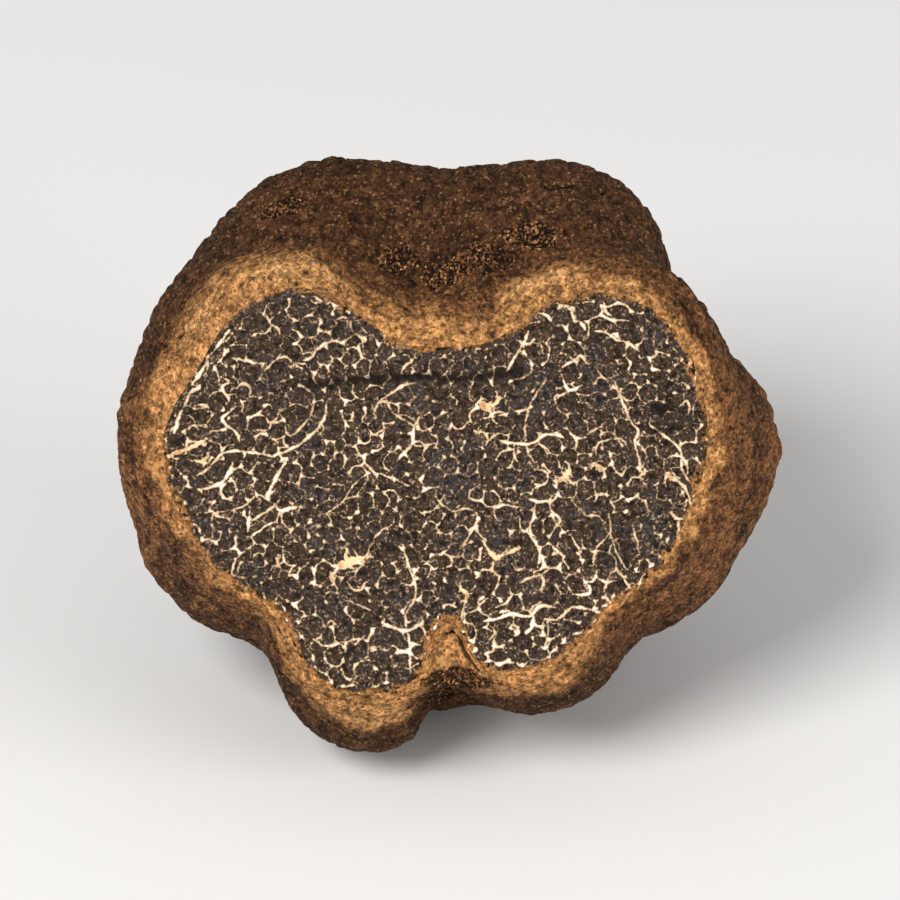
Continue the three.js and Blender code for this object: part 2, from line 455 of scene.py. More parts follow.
class TruffleSkin(bpy.types.PropertyGroup):
    cells_across: IntProperty(
        name="Cells across", description="Grid cells along each side of the skin's mesh", default=138, min=20
    )
    wart_pitch: FloatProperty(
        name="Wart pitch", description="Least distance between two warts", default=1.9 * MM, unit="LENGTH"
    )
    wart_height: FloatProperty(
        name="Wart height", description="A wart's top over its valley", default=0.62 * MM, unit="LENGTH"
    )
    low_share: FloatProperty(
        name="Low warts",
        description="Height of the warts by the cut, as a share",
        default=0.3,
        subtype="FACTOR",
    )
    # The umber is also the colour of the painted shade on the low flanks and, in part, on the crowns.
    umber: FloatVectorProperty(
        name="Umber", description="The skin's dark brown", default=colour("3a2414"), subtype="COLOR"
    )
    russet: FloatVectorProperty(
        name="Russet", description="The skin's warm brown", default=colour("7d5231"), subtype="COLOR"
    )
    dust: FloatVectorProperty(
        name="Dust", description="Dry earth on the skin", default=colour("bf8852"), subtype="COLOR"
    )
    grit: FloatVectorProperty(
        name="Grit", description="The palest grains", default=colour("dba86e"), subtype="COLOR"
    )
    # The pit colour is also the painted shade between the warts, in the cracks and in the patches between the
    # toes, besides the base of the soil.
    pit: FloatVectorProperty(
        name="Pit", description="The black between the grains", default=colour("120904"), subtype="COLOR"
    )


def wart_relief(points, settings):
    """How far the warts lift or sink each point, the share of full height there, and how near
    the point is to the dip between two warts, which the paint darkens as painted shade."""
    warped = points + swirl(points, 2.4) * WART_SWAY
    pitch = settings.wart_pitch / MM
    seeds = spread_out(warped, pitch, seed=11)
    own, _, border, corner = cells(warped, seeds)
    border = border - 0.12 * np.exp(-((corner / 0.3) ** 2))
    tallness = np.random.default_rng(TALLNESS_SEED).uniform(*WART_TALLNESS, len(seeds))[own]
    top = smooth_step(border, 0.0, 0.5) * 0.8 + np.clip(border, 0, 1) * 0.25
    patches = clouds(points, 9.0, offset=31.0)
    share = mix(settings.low_share, 1.0, smooth_step(points[:, 1], LOW_WARTS_END, TALL_WARTS_START))
    share = share * np.clip(1 + 0.5 * patches, 0.4, 1.5)
    rise = share * (settings.wart_height / MM) * (top * tallness - WART_SINK)
    valley_shade = 1 - smooth_step(border, 0.0, VALLEY_WIDTH)
    return rise, share, valley_shade


def skin_mesh(settings):
    mesh = ball_of_directions(settings.cells_across)
    write_points(mesh, body_surface(read_points(mesh)))
    body = bmesh.new()
    body.from_mesh(mesh)
    everything = body.verts[:] + body.edges[:] + body.faces[:]
    bmesh.ops.bisect_plane(
        body, geom=everything, dist=ON_PLANE, plane_co=(0, 0, 0), plane_no=(0, -1, 0), clear_outer=True
    )
    body.to_mesh(mesh)
    body.free()
    return mesh


def in_patch(points, middle, reach, ragged):
    """1 in the middle of a patch and 0 outside it."""
    away = np.linalg.norm((points - np.array(middle)) / np.array(reach), axis=1)
    return 1 - smooth_step(away + ragged, 0.2, 1.3)


def crack_depth(points):
    """How deep in a crack each point lies, negative outside."""
    deepest = np.full(len(points), -1.0)
    for half_width, *corners in CRACKS:
        path = smooth_path(corners)
        path = path + swirl(path, 0.8) * 0.3
        deepest = np.maximum(deepest, half_width - distance_to(points, tree_of(path)))
    return deepest


def raise_skin(mesh, settings):
    """Lifts the warts, lumps and grit out of the smooth body, and notes what the paint needs."""
    points = read_points(mesh)
    facing = body_facing(points)
    on_rim = points[:, 1] < RIM_REACH
    rim_tree = tree_of(points[on_rim])
    from_rim = distance_to(points, rim_tree)

    rise, wart_share, valley_shade = wart_relief(points, settings)
    lumps = clouds(points, 5.0, 4) * LUMP_HEIGHT
    grit = clouds(points, 0.85, 2, offset=7.0)
    ragged = 0.3 * clouds(points, 1.6, 4, offset=4.0)
    soil_and_shade = np.max([in_patch(points, *patch, ragged) for patch in SOIL_AND_SHADE_PATCHES], axis=0)
    bright = np.max([in_patch(points, *spot, ragged) for spot in BRIGHT_SPOTS], axis=0)
    crack = crack_depth(points)
    fade = smooth_step(from_rim, 0.0, RIM_FADE)
    grit = grit * mix(GRIT_HEIGHT, SOIL_GRIT_HEIGHT, soil_and_shade)
    height = rise * mix(0.35, 1, fade) + lumps * fade + grit - soil_and_shade * SOIL_DENT
    height = height - CRACK_DEPTH * smooth_step(crack, -0.2, 0.15)
    moved = points + facing * height[:, None]
    moved[:, 1] = np.maximum(moved[:, 1], 0.0)
    moved[on_rim, 1] = 0.0

    reach = DUST_WIDTH + sum(
        MORE_DUST * np.exp(-((np.linalg.norm(points - np.array(spot), axis=1) / size) ** 2))
        for spot, size in DUSTY_SPOTS
    )
    dusty = 1 - smooth_step(from_rim + 1.3 * clouds(points, 2.6, 3, offset=19.0), 0.45 * reach, 1.7 * reach)
    write_field(mesh, "dust", np.maximum(dusty, bright))
    write_field(mesh, "bright", bright)
    write_field(mesh, "crack", crack)
    write_field(mesh, "from_front", points[:, 1])
    write_field(mesh, "soil_and_shade", soil_and_shade)
    write_field(mesh, "valley_shade", valley_shade * np.clip(wart_share, 0, 1))
    return moved


def close_behind(mesh, depth, inset):
    """Marks the rim's edges and closes the mesh just behind the cut face."""
    body = bmesh.new()
    body.from_mesh(mesh)
    rim = [edge for edge in body.edges if edge.is_boundary]
    for edge in rim:
        edge.seam = True
        edge.smooth = False
    grown = bmesh.ops.extrude_edge_only(body, edges=rim)["geom"]
    inner = [v for v in grown if isinstance(v, bmesh.types.BMVert)]
    middle = sum((v.co for v in inner), Vector()) / len(inner)
    for v in inner:
        v.co = middle + (v.co - middle) * inset + Vector((0, depth, 0))
    inner_edges = [e for e in grown if isinstance(e, bmesh.types.BMEdge) and e.is_boundary]
    filled = bmesh.ops.edgeloop_fill(body, edges=inner_edges)["faces"]
    bmesh.ops.triangulate(body, faces=filled)
    bmesh.ops.recalc_face_normals(body, faces=body.faces[:])
    body.to_mesh(mesh)
    body.free()


def skin_paint(settings):
    paint = Paint("truffle_skin")
    umber, russet, dust = tuple(settings.umber), tuple(settings.russet), tuple(settings.dust)
    pit, grit = tuple(settings.pit), tuple(settings.grit)
    patches = paint.noise(7.0, 4, 0.6)
    mottle = paint.noise(1.6, 4, 0.65)
    inward = (0, math.cos(LEAN_BACK), -math.sin(LEAN_BACK))
    drawn = paint.drawn_out(inward, 0.38)
    coarse = paint.noise(0.9, 3, 0.6, place=drawn)
    grain = paint.noise(0.3, 3, 0.7, place=drawn)
    sand = paint.grains(0.3, drawn)
    fine_sand = paint.grains(0.19, drawn)

    blots = paint.sum(paint.times(patches, 0.5), paint.times(mottle, 0.5))
    brown = paint.blend(umber, russet, paint.band(blots, 0.38, 0.56))
    # Painted shade: the low flanks are darkened towards umber as painted shade, and the crowns partly as the
    # skin's own darker brown and partly as painted shadow.
    height = paint.sum(paint.add("ShaderNodeSeparateXYZ", {0: paint.place}, "Z"), paint.times(mottle, 12.0))
    crown_umber_and_shade = paint.times(paint.band(height, 38.0, 46.0), paint.band(paint.field("from_front"), 3.0, 9.0))
    umber_crown_and_low_shade = paint.sum(crown_umber_and_shade, paint.band(height, 28.0, 18.0))
    brown = paint.blend(brown, umber, paint.times(umber_crown_and_low_shade, 0.75))
    patchy = paint.times(paint.field("dust"), paint.band(mottle, 0.36, 0.56, 0.45, 1.0))
    brown = paint.blend(brown, dust, patchy)
    brown = paint.blend(brown, grit, paint.times(paint.field("bright"), 0.32))
    uneven = paint.sum(paint.times(coarse, 0.45), paint.times(grain, 0.55))
    brown = paint.blend(brown, paint.band(uneven, 0.37, 0.63, 0.5, 1.4), 1.0, "MULTIPLY")
    brown = paint.blend(brown, paint.band(sand, 0.1, 0.9, 0.48, 1.5), 1.0, "MULTIPLY")
    brown = paint.blend(brown, pit, paint.times(paint.band(coarse, 0.4, 0.3), 0.75))
    brown = paint.blend(brown, grit, paint.times(paint.band(fine_sand, 0.76, 0.9), 0.28))
    brown = paint.blend(brown, pit, paint.times(paint.band(fine_sand, 0.2, 0.1), 0.5))
    # Painted shade: the valleys between the warts darkened towards black.
    brown = paint.blend(brown, pit, paint.times(paint.field("valley_shade"), 0.8))

    clods = paint.band(mottle, 0.4, 0.55, 0.4, 1.0)
    soil_and_shade = paint.blend(pit, umber, paint.band(fine_sand, 0.4, 0.55))
    soil_and_shade = paint.blend(soil_and_shade, russet, paint.times(paint.band(fine_sand, 0.56, 0.7), clods))
    soil_and_shade = paint.blend(soil_and_shade, grit, paint.times(paint.band(fine_sand, 0.78, 0.9), paint.times(clods, 0.6)))
    # Dark soil on the patches; on the two between the toes it is painted shade.
    loose_soil_and_shade = paint.sum(paint.field("soil_and_shade"), paint.times(uneven, -1.0))
    brown = paint.blend(brown, soil_and_shade, paint.times(paint.band(loose_soil_and_shade, -0.3, 0.05), 0.95))
    # Painted shade: the cracks darkened almost to black.
    crack_shade = paint.sum(paint.field("crack"), paint.times(grain, 0.3))
    brown = paint.blend(brown, pit, paint.times(paint.band(crack_shade, 0.08, 0.2), 0.92))
    paint.put(paint.shader.inputs["Base Color"], brown)
    paint.put(paint.shader.inputs["Roughness"], paint.band(grain, 0.3, 0.7, 0.95, 0.75))
    paint.shader.inputs["Specular IOR Level"].default_value = 0.12
    rough = paint.bump(coarse, 0.35)
    rough = paint.bump(grain, 0.16, rough)
    rough = paint.bump(sand, 0.07, rough)
    paint.put(paint.shader.inputs["Normal"], rough)
    return paint.material


class TRUFFLE_OT_skin(bpy.types.Operator):
    """Grow the lobed body, lift its warts and cut it open in front"""

    bl_idname = "truffle.skin"
    bl_label = "Skin"

    def execute(self, context):
        settings = context.scene.truffle_skin
        mesh = skin_mesh(settings)
        write_points(mesh, raise_skin(mesh, settings))
        close_behind(mesh, *SKIN_LIP)
        points = to_floor(read_points(mesh))
        points[:, 2] = np.maximum(points[:, 2], 0)
        write_points(mesh, points)
        piece = show(mesh, "truffle_skin", skin_paint(settings))
        return {"FINISHED"}


# ---- The cut face ----
# Points on it are x, to the right, and z, up along it, in millimetres.

# The veins that stand out one by one: each one's half-width and the points it runs through.
LEFT_VEINS = (
    (0.16, (-21.8, 1.0), (-20.5, 1.8), (-19.4, 3.0), (-18.2, 3.4), (-16.2, 3.2), (-14.6, 2.9)),
    (0.21, (-14.8, 2.9), (-13.5, 3.4), (-12.2, 4.1), (-10.8, 5.3), (-10.1, 6.4), (-9.9, 7.6)),
    (0.24, (-15.4, -1.0), (-15.0, -0.3), (-14.4, 1.0), (-13.4, 2.8)),
    (0.14, (-11.0, 7.7), (-11.3, 6.7), (-12.2, 5.5), (-13.2, 4.8), (-13.6, 5.6)),
    (0.17, (-16.9, -3.1), (-15.3, -2.1), (-14.4, -1.4)),
    (0.22, (-14.6, -1.4), (-14.1, -2.0), (-13.2, -1.8), (-12.2, -1.6)),
    (0.12, (-14.1, -2.1), (-14.4, -2.9), (-15.5, -3.5), (-16.9, -4.6)),
    (0.22, (-16.8, -2.2), (-16.9, -3.1), (-17.0, -3.9)),
    (0.11, (-20.2, -5.0), (-20.1, -3.6), (-20.0, -2.3), (-18.5, -2.0), (-17.0, -1.4), (-16.3, -0.7)),
    (0.25, (-20.9, -0.1), (-20.1, 0.2), (-19.2, 0.6), (-18.5, 1.6), (-18.3, 2.4)),
    (0.20, (-18.4, 7.1), (-19.2, 6.3), (-18.6, 5.6), (-17.9, 5.0), (-17.7, 4.2)),
    (0.19, (-17.9, 9.2), (-17.2, 9.5), (-16.7, 9.0), (-16.8, 8.2)),
    (0.16, (-19.2, 10.1), (-18.6, 9.7), (-19.2, 9.2), (-18.9, 8.5), (-18.1, 8.6)),
    (0.14, (-21.9, 7.4), (-21.2, 7.6), (-20.5, 7.6)),
    (0.09, (-22.6, 5.2), (-21.6, 5.8), (-20.4, 5.4)),
    (0.14, (-16.0, 5.3), (-15.2, 5.3), (-14.8, 5.9), (-14.2, 6.6)),
    (0.20, (-18.1, -6.4), (-18.4, -7.7)),
    (0.25, (-23.2, -2.6), (-22.7, -3.1)),
    (0.29, (-23.5, 5.0), (-23.2, 6.2), (-22.9, 7.0)),
    (0.22, (-22.5, 7.6), (-22.1, 8.6), (-21.4, 9.2)),
    (0.27, (-21.7, 9.7), (-21.1, 10.6), (-20.6, 11.4)),
    (0.19, (-20.0, 12.4), (-19.2, 13.5), (-18.5, 14.4)),
    (0.14, (-21.0, 12.4), (-20.5, 11.6), (-20.6, 10.6)),
)
BROW_VEINS = (
    (0.19, (-18.2, 11.8), (-17.2, 11.6), (-16.1, 11.3)),
    (0.14, (-15.5, 10.5), (-14.6, 11.5), (-13.6, 11.9), (-12.8, 11.3), (-12.0, 10.8)),
    (0.19, (-12.1, 11.6), (-11.2, 11.9), (-10.7, 12.6), (-9.6, 13.3), (-8.4, 13.2)),
    (0.13, (-9.2, 15.2), (-8.2, 15.5), (-8.0, 14.5)),
    (0.13, (-15.2, 15.8), (-14.9, 14.9), (-14.2, 14.5), (-14.1, 13.9)),
    (0.14, (-11.0, 17.4), (-10.3, 16.9), (-9.8, 16.8)),
    (0.12, (-7.3, 14.0), (-6.7, 13.4), (-6.6, 12.2)),
    (0.24, (-6.7, 14.6), (-6.3, 14.1)),
    (0.15, (-1.9, 11.8), (-2.9, 11.0), (-3.2, 10.4)),
    (0.17, (8.2, 14.2), (7.7, 13.2), (6.9, 11.8), (6.2, 10.5)),
    (0.14, (9.2, 13.3), (9.5, 12.2)),
    (0.19, (8.9, 15.9), (9.7, 15.7), (10.3, 15.0)),
    (0.16, (10.5, 17.0), (11.3, 16.5), (12.0, 16.0), (12.3, 15.0)),
    (0.30, (12.8, 15.0), (13.3, 14.4)),
    (0.17, (14.9, 16.8), (15.1, 16.0), (15.9, 15.3)),
    (0.15, (14.1, 14.2), (14.9, 14.2), (16.0, 13.5), (17.0, 13.2), (18.1, 12.4)),
    (0.19, (11.3, 11.0), (12.2, 11.6), (12.9, 12.0), (13.4, 11.3), (13.9, 11.5)),
    (0.18, (11.2, 10.1), (11.5, 9.3), (11.9, 8.9), (13.0, 9.4)),
    (0.14, (11.9, 8.9), (11.2, 8.5), (10.5, 8.3), (10.6, 7.6)),
    (0.15, (12.6, 17.1), (13.2, 17.4)),
)
MIDDLE_VEINS = (
    (0.11, (-7.4, 3.9), (-6.7, 2.8), (-5.8, 1.6), (-4.4, 1.1), (-2.4, 0.2)),
    (0.11, (-10.0, -2.4), (-8.5, -1.2), (-7.4, 0.4), (-5.9, 1.6)),
    (0.13, (-8.5, -1.1), (-7.6, -0.8), (-6.6, -0.7)),
    (0.13, (-5.7, 6.5), (-5.3, 7.7), (-4.6, 8.3), (-3.6, 8.9)),
    (0.22, (-3.9, 8.8), (-3.0, 9.3), (-1.9, 9.6)),
    (0.13, (-4.6, 8.2), (-4.1, 7.1), (-3.3, 6.4), (-2.1, 5.8), (-1.6, 6.4), (-1.1, 7.3)),
    (0.21, (-2.1, 5.8), (-2.2, 4.6), (-2.3, 3.9), (-3.0, 3.2), (-3.5, 2.6)),
    (0.15, (-2.3, 3.9), (-1.2, 3.9), (-0.2, 4.1)),
    (0.20, (-7.5, 6.9), (-7.6, 6.2)),
    (0.20, (-4.7, 5.5), (-5.4, 5.0)),
    (0.16, (-5.7, -4.5), (-4.9, -3.8), (-4.2, -3.4)),
    (0.13, (-0.1, -0.2), (0.1, -1.1), (1.4, -2.0), (2.6, -1.8), (3.6, -2.2)),
    (0.18, (3.6, -2.3), (3.5, -3.2), (2.9, -4.2), (2.1, -5.6)),
    (
        0.15, (-3.1, -5.0), (-2.6, -6.8), (-2.0, -8.6),
        (-2.0, -10.0), (-2.8, -11.6), (-2.5, -14.0), (-2.4, -17.2),
    ),
    (0.26, (-5.0, -12.2), (-3.8, -12.7), (-2.6, -12.9), (-1.3, -12.2)),
    (0.15, (-1.3, -12.1), (-1.1, -13.4)),
    (0.16, (-8.0, -8.5), (-7.6, -9.1), (-6.8, -9.2), (-6.4, -8.5), (-5.9, -8.7)),
    (0.10, (-8.4, -10.1), (-7.0, -10.6), (-5.8, -11.1)),
    (0.17, (-11.1, -13.7), (-10.0, -14.3), (-8.3, -13.9)),
    (0.11, (-5.0, -14.4), (-6.1, -14.5), (-6.3, -15.3), (-6.9, -15.7)),
    (0.16, (-7.4, -14.2), (-6.4, -13.3)),
    (0.14, (-8.6, -16.3), (-8.1, -17.3), (-7.3, -17.2)),
    (0.12, (-10.1, -12.8), (-9.5, -12.0), (-8.9, -12.7)),
)
RIGHT_VEINS = (
    (0.13, (9.8, 10.0), (9.1, 8.9), (8.3, 7.5), (7.9, 5.8), (7.9, 4.4)),
    (0.20, (5.5, 4.4), (6.6, 4.1), (8.1, 4.0), (8.9, 4.3), (9.5, 4.8), (10.6, 4.9), (11.3, 4.6)),
    (0.15, (8.0, 4.0), (8.2, 3.2), (8.7, 2.3)),
    (0.13, (9.1, 4.1), (9.7, 3.7), (10.2, 3.1)),
    (0.16, (6.9, 3.9), (6.9, 3.0), (7.2, 2.4)),
    (0.13, (8.9, 1.8), (9.8, 1.5), (9.9, 0.7), (9.2, 0.3), (8.4, 0.6)),
    (0.18, (11.9, 5.1), (12.5, 4.3), (12.4, 3.4)),
    (0.12, (14.2, 2.9), (14.3, 3.9), (15.2, 4.4), (16.2, 4.5), (16.9, 4.2)),
    (0.16, (13.4, 4.9), (14.2, 5.4), (14.8, 5.6)),
    (
        0.16, (15.8, 9.8), (16.2, 8.8), (16.7, 7.6), (17.2, 6.3),
        (18.0, 5.2), (17.7, 4.2), (18.1, 2.6), (18.3, 1.6),
    ),
    (0.15, (18.9, 5.9), (20.3, 4.8), (21.4, 3.9), (21.9, 3.0), (21.9, 1.8), (22.7, 0.5)),
    (0.15, (20.6, 1.1), (21.4, 0.7), (22.1, 0.2), (22.8, -1.6), (22.9, -3.5)),
    (0.17, (21.0, -2.2), (21.6, -2.7), (22.8, -2.6)),
    (0.16, (21.6, -2.7), (21.6, -4.2), (21.4, -5.2)),
    (0.14, (21.6, 7.4), (22.2, 7.9), (22.6, 7.4), (22.4, 6.6)),
    (0.15, (22.5, 11.9), (23.1, 10.9), (23.1, 9.6), (23.5, 8.6)),
    (0.14, (16.9, 0.3), (17.6, 1.0), (18.5, 0.9)),
    (0.20, (5.1, -1.8), (6.1, -1.5), (7.4, -1.7)),
    (0.20, (8.0, -0.8), (9.0, -1.2), (10.0, -1.1), (10.6, -0.9)),
    (0.14, (8.8, -1.2), (8.6, -2.7), (8.0, -3.9), (7.5, -3.6), (7.4, -2.6)),
    (0.16, (8.1, -3.9), (8.9, -5.1), (9.2, -6.1), (9.0, -7.2)),
    (0.16, (10.1, -1.1), (10.2, -1.9), (11.0, -2.8), (10.7, -3.6)),
    (0.11, (12.0, -1.0), (12.8, -1.9), (13.9, -2.8)),
    (0.13, (15.4, -2.2), (15.5, -3.9), (14.9, -4.7), (14.2, -5.6), (14.0, -7.0)),
    (0.13, (15.5, -4.0), (16.1, -5.8), (17.0, -7.4)),
    (0.17, (16.0, -7.2), (16.7, -8.1), (17.5, -9.4)),
    (0.15, (17.5, -3.3), (17.9, -4.7), (18.1, -5.9)),
    (0.16, (14.1, -1.2), (14.5, -0.6), (15.3, -0.6)),
)
TOE_VEINS = (
    (0.18, (7.4, -8.6), (8.3, -8.1), (9.3, -8.0), (9.5, -8.9), (8.7, -9.5)),
    (0.12, (9.3, -7.9), (10.1, -7.3), (10.9, -7.3), (11.3, -8.0)),
    (0.14, (10.2, -5.2), (11.1, -6.0), (11.8, -7.3)),
    (0.13, (11.9, -4.2), (12.9, -5.8)),
    (0.14, (6.7, -6.9), (7.2, -7.4), (7.9, -7.2)),
    (0.18, (14.3, -8.1), (15.2, -8.5), (16.2, -8.3)),
    (0.18, (15.2, -8.5), (15.0, -9.4)),
    (0.19, (13.1, -8.5), (13.7, -9.0), (13.5, -9.6), (12.1, -9.6)),
    (0.23, (4.2, -12.1), (5.4, -11.8), (6.7, -11.4), (8.3, -11.6), (9.2, -10.7), (10.8, -10.8)),
    (
        0.18, (9.6, -11.9), (10.9, -11.8), (12.2, -10.8),
        (13.7, -11.0), (15.0, -11.3), (15.5, -10.6), (15.1, -9.7),
    ),
    (0.10, (9.9, -12.0), (10.0, -13.7), (9.9, -15.2)),
    (0.12, (2.5, -10.3), (2.2, -11.6), (2.1, -12.9)),
    (0.17, (5.3, -10.8), (6.3, -10.3), (6.8, -9.5)),
    (0.12, (3.2, -11.2), (4.2, -10.2), (5.0, -9.8)),
    (0.15, (6.5, -12.3), (7.2, -12.6), (7.3, -13.1)),
    (0.16, (4.6, -13.9), (5.2, -13.1)),
)

# The knots that have turned yellow or peach.
WARM_KNOTS = (
    (0.55, (-8.9, -7.1), (-8.0, -6.8), (-7.2, -6.7)),
    (0.30, (-8.1, -5.5), (-8.0, -6.5), (-6.3, -6.2)),
    (0.24, (-9.3, -8.6), (-9.5, -7.6)),
    (0.42, (3.8, 7.9), (4.3, 7.5), (4.9, 6.8)),
    (0.30, (4.3, 7.6), (5.1, 7.6), (5.6, 8.2)),
    (0.40, (4.9, -5.9), (5.3, -6.4)),
    (0.20, (4.0, -4.7), (4.6, -5.6), (5.2, -6.2), (6.3, -5.9), (7.4, -5.3)),
    (0.15, (5.1, -6.5), (4.8, -7.5)),
    (0.22, (-23.8, 3.1), (-22.3, 3.6), (-20.6, 4.5)),
    (0.17, (-21.7, 2.6), (-21.0, 2.5), (-20.5, 3.1)),
    (0.26, (2.1, -9.0), (2.6, -9.5), (2.6, -10.2)),
    (0.22, (3.7, 5.1), (4.3, 5.0), (4.6, 4.4)),
    (0.32, (10.8, 0.6), (11.4, 1.1), (11.9, 1.7)),
    (0.24, (11.5, 1.1), (12.1, 0.4)),
    (0.34, (20.5, 1.3), (21.2, 0.8)),
    (0.24, (18.3, 1.2), (18.8, 1.6)),
    (0.24, (13.9, 2.2), (14.9, 1.9)),
    (0.20, (-14.4, -6.3), (-14.2, -7.0)),
)

# Where the knife dragged the flesh into a crease or a nick. They are sunk a little and darkened as painted
# shade.
CREASES = (
    (0.4, (-12.2, 9.3), (-9.0, 9.6), (-6.0, 9.9), (-2.5, 10.0), (1.0, 9.9), (4.5, 10.1), (8.0, 10.6)),
    (0.42, (19.2, 7.2), (20.3, 7.3), (21.2, 7.0)),
    (0.26, (18.9, 5.0), (20.2, 5.4), (21.6, 5.3)),
    (0.22, (14.6, -5.9), (15.6, -6.0), (16.3, -6.2)),
)

VEIN_SHARE = 0.65  # of the half-widths above
WARM_SHARE = 0.75
WHOLE_LINKS = 0.42  # of the links between two knots, the share that is whole
BROKEN_LINKS = 0.4  # and the share that is broken in the middle
LONGEST_LINK = 3.0
KEPT_CELLS = 0.8  # of the cells, so that the others run together
WIDEST_KNOT = 1.7  # times the usual knot
TOE_SHARE = 1.3  # how much wider the veins are down in the toes
TWIG_LENGTHS = (0.4, 1.1)
BARE_EDGE = np.array((-21.5, 10.0))  # round here no rind shows between flesh and skin
BARE_REACH = 6.0
TIP_SHARE = 0.4  # a vein's width at its ends, as a share of the rest
VEIN_HEIGHT = 0.035
FLESH_RELIEF = 0.045
CREASE_DEPTH = 0.13
CELL_GAP = 0.45  # the cells' middles keep this far from the veins, knots and creases above
CRUMB_GAP = 0.12  # and the crumbs' middles this far
KEPT_SEED = 29
GRID_JITTER = 0.12  # how far a point of the face strays, as a share of the spacing
JITTER_SEED = 3
FACE_SLAB = (0.38, 0.98)  # how thick the face's slab is, and its back's size, as a share


class TruffleFlesh(bpy.types.PropertyGroup):
    grid: FloatProperty(
        name="Grid",
        description="Spacing of the face's points",
        default=0.132 * MM,
        unit="LENGTH",
        precision=6,
    )
    cell_pitch: FloatProperty(
        name="Cell pitch",
        description="Least distance between the dark cells' middles",
        default=1.1 * MM,
        unit="LENGTH",
    )
    knot: FloatProperty(
        name="Knot",
        description="Half-width of a vein where it meets others",
        default=0.094 * MM,
        unit="LENGTH",
    )
    crumbs: IntProperty(name="Crumbs", description="How many pale crumbs there are", default=3400, min=0)
    flesh: FloatVectorProperty(
        name="Flesh", description="The dark flesh", default=colour("372c25"), subtype="COLOR"
    )
    flesh_brown: FloatVectorProperty(
        name="Brown flesh", description="Its browner patches", default=colour("3c2e22"), subtype="COLOR"
    )
    flesh_grey: FloatVectorProperty(
        name="Grey flesh", description="Its greyer patches", default=colour("37312e"), subtype="COLOR"
    )
    # The dark flesh colour is also the painted shade in the creases.
    flesh_dark: FloatVectorProperty(
        name="Dark flesh", description="Its darker spots", default=colour("110a05"), subtype="COLOR"
    )
    crumb: FloatVectorProperty(
        name="Crumb",
        description="The dull crumbs between the veins",
        default=colour("9c8169"),
        subtype="COLOR",
    )
    vein: FloatVectorProperty(
        name="Vein", description="The pale veins", default=colour("f3e6d6"), subtype="COLOR"
    )
    thread: FloatVectorProperty(
        name="Thread", description="The thinnest veins", default=colour("7d6148"), subtype="COLOR"
    )
    tan: FloatVectorProperty(
        name="Tan vein", description="The veins of middling width", default=colour("d3b58f"), subtype="COLOR"
    )
    yellow: FloatVectorProperty(
        name="Yellow knot",
        description="Knots that have turned yellow",
        default=colour("e6cd9a"),
        subtype="COLOR",
    )
    peach: FloatVectorProperty(
        name="Peach knot",
        description="Knots that have turned peach",
        default=colour("c98c50"),
        subtype="COLOR",
    )
    rind: FloatVectorProperty(
        name="Rind", description="The skin's edge where it is cut", default=colour("94663b"), subtype="COLOR"
    )


def rim_loop(skin):
    """The rim's points in order, from the highest one and to the right."""
    mesh = skin.data
    joined = {}
    for edge in mesh.edges:
        if edge.use_seam:
            a, b = edge.vertices
            joined.setdefault(a, []).append(b)
            joined.setdefault(b, []).append(a)
    start = next(iter(joined))
    loop, before, here = [start], None, start
    while True:
        ahead = [n for n in joined[here] if n != before]
        before, here = here, ahead[0]
        if here == start:
            break
        loop.append(here)
    points = from_floor(read_points(mesh)[loop])[:, [0, 2]]
    points = np.roll(points, -points[:, 1].argmax(), axis=0)
    if points[1, 0] < points[-1, 0]:
        points = np.roll(points[::-1], 1, axis=0)
    return points


def within(points, loop):
    """Which of the points are inside the loop."""
    inside = np.zeros(len(points), bool)
    x, y = points[:, 0], points[:, 1]
    for (x0, y0), (x1, y1) in zip(loop, np.roll(loop, -1, axis=0)):
        if y0 != y1:
            crosses = (y0 > y) != (y1 > y)
            inside ^= crosses & (x < (x1 - x0) * (y - y0) / (y1 - y0) + x0)
    return inside


def along(loop, step):
    """The loop again, with points at most a step apart."""
    pieces = []
    for start, end in zip(loop, np.roll(loop, -1, axis=0)):
        count = max(1, int(np.ceil(np.linalg.norm(end - start) / step)))
        pieces.append(start + (end - start) * (np.arange(count) / count)[:, None])
    return np.concatenate(pieces)


def flat(points):
    """Points of the face with a third coordinate of 0."""
    return np.concatenate([points, np.zeros((len(points), 1))], axis=1)


def face_grid(loop, spacing):
    """The points and triangles that fill the loop."""
    rows = spacing * math.sqrt(3) / 2
    low, high = loop.min(axis=0), loop.max(axis=0)
    x, y = np.meshgrid(np.arange(low[0], high[0], spacing), np.arange(low[1], high[1], rows))
    x[1::2] += spacing / 2
    points = np.stack([x.ravel(), y.ravel()], axis=1)
    points = points[within(points, loop)]
    from_rim = distance_to(flat(points), tree_of(flat(along(loop, spacing / 3))))
    points = points[from_rim > spacing * 0.55]
    points += np.random.default_rng(JITTER_SEED).uniform(-GRID_JITTER, GRID_JITTER, points.shape) * spacing
    count = len(loop)
    corners = [Vector(p) for p in np.concatenate([loop, points]).tolist()]
    edges = [(i, (i + 1) % count) for i in range(count)]
    corners, _, triangles, *_ = geometry.delaunay_2d_cdt(corners, edges, [], 1, 1e-7)
    return np.array([tuple(c) for c in corners]), triangles


